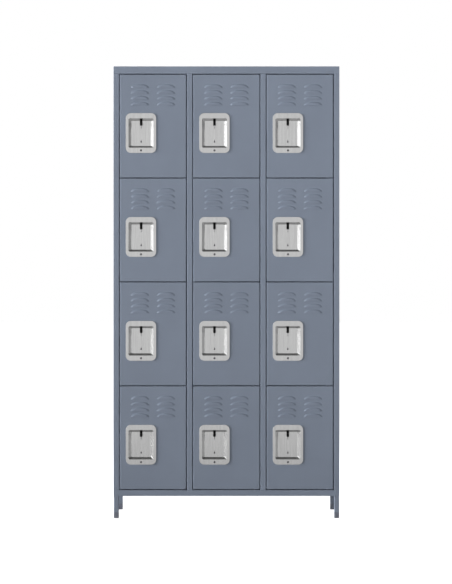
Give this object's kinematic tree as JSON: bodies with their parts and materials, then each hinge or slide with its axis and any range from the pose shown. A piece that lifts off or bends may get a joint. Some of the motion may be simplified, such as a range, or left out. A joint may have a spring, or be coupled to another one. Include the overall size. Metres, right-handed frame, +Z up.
{
  "type": "multi-door steel locker",
  "caption": "Free-standing steel locker with louvred hinged doors, each with a recessed stainless handle cup and a lift latch, on short legs.",
  "frame": {"origin": "on the floor, under the middle of the locker's overall box", "axes": "+Z up, +Y from the doors towards the back, +X to the right as seen from the front"},
  "size_m": [0.9, 0.4, 1.8],
  "materials": {
    "cabinet_paint": "powder coat, satin, fine orange peel",
    "door_paint": "powder coat, satin, fine orange peel",
    "stainless": "fine satin brushed",
    "black_trigger": "satin black",
    "zinc_steel": "bright zinc plate",
    "foot_plastic": "moulded, fine grain",
    "buffer_rubber": "matte"
  },
  "bodies": {
    "root": {"top_panel": "cabinet_paint", "bottom_panel": "cabinet_paint", "left_side_panel": "cabinet_paint", "right_side_panel": "cabinet_paint", "left_mullion": "cabinet_paint", "right_mullion": "cabinet_paint", "left_partition": "cabinet_paint", "right_partition": "cabinet_paint", "left_back_panel": "cabinet_paint", "centre_back_panel": "cabinet_paint", "right_back_panel": "cabinet_paint", "shelves": "cabinet_paint", "front_left_leg": "cabinet_paint", "front_right_leg": "cabinet_paint", "rear_left_leg": "cabinet_paint", "rear_right_leg": "cabinet_paint", "foot_caps": "foot_plastic", "leg_bolts": "zinc_steel", "leg_nuts": "zinc_steel", "panel_screws": "zinc_steel", "pivot_tabs": "zinc_steel", "pivot_pins": "zinc_steel", "keepers": "zinc_steel", "door_buffers": "buffer_rubber"},
    "door_r1c1": {"door_panel_r1c1": "door_paint", "handle_cup_r1c1": "stainless"},
    "trigger_r1c1": {"latch_r1c1": "black_trigger"},
    "door_r1c2": {"door_panel_r1c2": "door_paint", "handle_cup_r1c2": "stainless"},
    "trigger_r1c2": {"latch_r1c2": "black_trigger"},
    "door_r1c3": {"door_panel_r1c3": "door_paint", "handle_cup_r1c3": "stainless"},
    "trigger_r1c3": {"latch_r1c3": "black_trigger"},
    "door_r2c1": {"door_panel_r2c1": "door_paint", "handle_cup_r2c1": "stainless"},
    "trigger_r2c1": {"latch_r2c1": "black_trigger"},
    "door_r2c2": {"door_panel_r2c2": "door_paint", "handle_cup_r2c2": "stainless"},
    "trigger_r2c2": {"latch_r2c2": "black_trigger"},
    "door_r2c3": {"door_panel_r2c3": "door_paint", "handle_cup_r2c3": "stainless"},
    "trigger_r2c3": {"latch_r2c3": "black_trigger"},
    "door_r3c1": {"door_panel_r3c1": "door_paint", "handle_cup_r3c1": "stainless"},
    "trigger_r3c1": {"latch_r3c1": "black_trigger"},
    "door_r3c2": {"door_panel_r3c2": "door_paint", "handle_cup_r3c2": "stainless"},
    "trigger_r3c2": {"latch_r3c2": "black_trigger"},
    "door_r3c3": {"door_panel_r3c3": "door_paint", "handle_cup_r3c3": "stainless"},
    "trigger_r3c3": {"latch_r3c3": "black_trigger"},
    "door_r4c1": {"door_panel_r4c1": "door_paint", "handle_cup_r4c1": "stainless"},
    "trigger_r4c1": {"latch_r4c1": "black_trigger"},
    "door_r4c2": {"door_panel_r4c2": "door_paint", "handle_cup_r4c2": "stainless"},
    "trigger_r4c2": {"latch_r4c2": "black_trigger"},
    "door_r4c3": {"door_panel_r4c3": "door_paint", "handle_cup_r4c3": "stainless"},
    "trigger_r4c3": {"latch_r4c3": "black_trigger"}
  },
  "joints": [
    {"name": "door_hinge_r1c1", "type": "hinge", "parent": "root", "child": "door_r1c1", "pos_m": [-0.18183, -0.1858, 1.5617], "axis": [0, 0, 1], "range_deg": [0, 110]},
    {"name": "trigger_lift_r1c1", "type": "slide", "parent": "door_r1c1", "child": "trigger_r1c1", "axis": [0, 0, 1], "range_m": [0, 0.009]},
    {"name": "door_hinge_r1c2", "type": "hinge", "parent": "root", "child": "door_r1c2", "pos_m": [0.11083, -0.1858, 1.5617], "axis": [0, 0, 1], "range_deg": [0, 110]},
    {"name": "trigger_lift_r1c2", "type": "slide", "parent": "door_r1c2", "child": "trigger_r1c2", "axis": [0, 0, 1], "range_m": [0, 0.009]},
    {"name": "door_hinge_r1c3", "type": "hinge", "parent": "root", "child": "door_r1c3", "pos_m": [0.4035, -0.1858, 1.5617], "axis": [0, 0, 1], "range_deg": [0, 110]},
    {"name": "trigger_lift_r1c3", "type": "slide", "parent": "door_r1c3", "child": "trigger_r1c3", "axis": [0, 0, 1], "range_m": [0, 0.009]},
    {"name": "door_hinge_r2c1", "type": "hinge", "parent": "root", "child": "door_r2c1", "pos_m": [-0.18183, -0.1858, 1.1479], "axis": [0, 0, 1], "range_deg": [0, 110]},
    {"name": "trigger_lift_r2c1", "type": "slide", "parent": "door_r2c1", "child": "trigger_r2c1", "axis": [0, 0, 1], "range_m": [0, 0.009]},
    {"name": "door_hinge_r2c2", "type": "hinge", "parent": "root", "child": "door_r2c2", "pos_m": [0.11083, -0.1858, 1.1479], "axis": [0, 0, 1], "range_deg": [0, 110]},
    {"name": "trigger_lift_r2c2", "type": "slide", "parent": "door_r2c2", "child": "trigger_r2c2", "axis": [0, 0, 1], "range_m": [0, 0.009]},
    {"name": "door_hinge_r2c3", "type": "hinge", "parent": "root", "child": "door_r2c3", "pos_m": [0.4035, -0.1858, 1.1479], "axis": [0, 0, 1], "range_deg": [0, 110]},
    {"name": "trigger_lift_r2c3", "type": "slide", "parent": "door_r2c3", "child": "trigger_r2c3", "axis": [0, 0, 1], "range_m": [0, 0.009]},
    {"name": "door_hinge_r3c1", "type": "hinge", "parent": "root", "child": "door_r3c1", "pos_m": [-0.18183, -0.1858, 0.7341], "axis": [0, 0, 1], "range_deg": [0, 110]},
    {"name": "trigger_lift_r3c1", "type": "slide", "parent": "door_r3c1", "child": "trigger_r3c1", "axis": [0, 0, 1], "range_m": [0, 0.009]},
    {"name": "door_hinge_r3c2", "type": "hinge", "parent": "root", "child": "door_r3c2", "pos_m": [0.11083, -0.1858, 0.7341], "axis": [0, 0, 1], "range_deg": [0, 110]},
    {"name": "trigger_lift_r3c2", "type": "slide", "parent": "door_r3c2", "child": "trigger_r3c2", "axis": [0, 0, 1], "range_m": [0, 0.009]},
    {"name": "door_hinge_r3c3", "type": "hinge", "parent": "root", "child": "door_r3c3", "pos_m": [0.4035, -0.1858, 0.7341], "axis": [0, 0, 1], "range_deg": [0, 110]},
    {"name": "trigger_lift_r3c3", "type": "slide", "parent": "door_r3c3", "child": "trigger_r3c3", "axis": [0, 0, 1], "range_m": [0, 0.009]},
    {"name": "door_hinge_r4c1", "type": "hinge", "parent": "root", "child": "door_r4c1", "pos_m": [-0.18183, -0.1858, 0.3203], "axis": [0, 0, 1], "range_deg": [0, 110]},
    {"name": "trigger_lift_r4c1", "type": "slide", "parent": "door_r4c1", "child": "trigger_r4c1", "axis": [0, 0, 1], "range_m": [0, 0.009]},
    {"name": "door_hinge_r4c2", "type": "hinge", "parent": "root", "child": "door_r4c2", "pos_m": [0.11083, -0.1858, 0.3203], "axis": [0, 0, 1], "range_deg": [0, 110]},
    {"name": "trigger_lift_r4c2", "type": "slide", "parent": "door_r4c2", "child": "trigger_r4c2", "axis": [0, 0, 1], "range_m": [0, 0.009]},
    {"name": "door_hinge_r4c3", "type": "hinge", "parent": "root", "child": "door_r4c3", "pos_m": [0.4035, -0.1858, 0.3203], "axis": [0, 0, 1], "range_deg": [0, 110]},
    {"name": "trigger_lift_r4c3", "type": "slide", "parent": "door_r4c3", "child": "trigger_r4c3", "axis": [0, 0, 1], "range_m": [0, 0.009]}
  ]
}
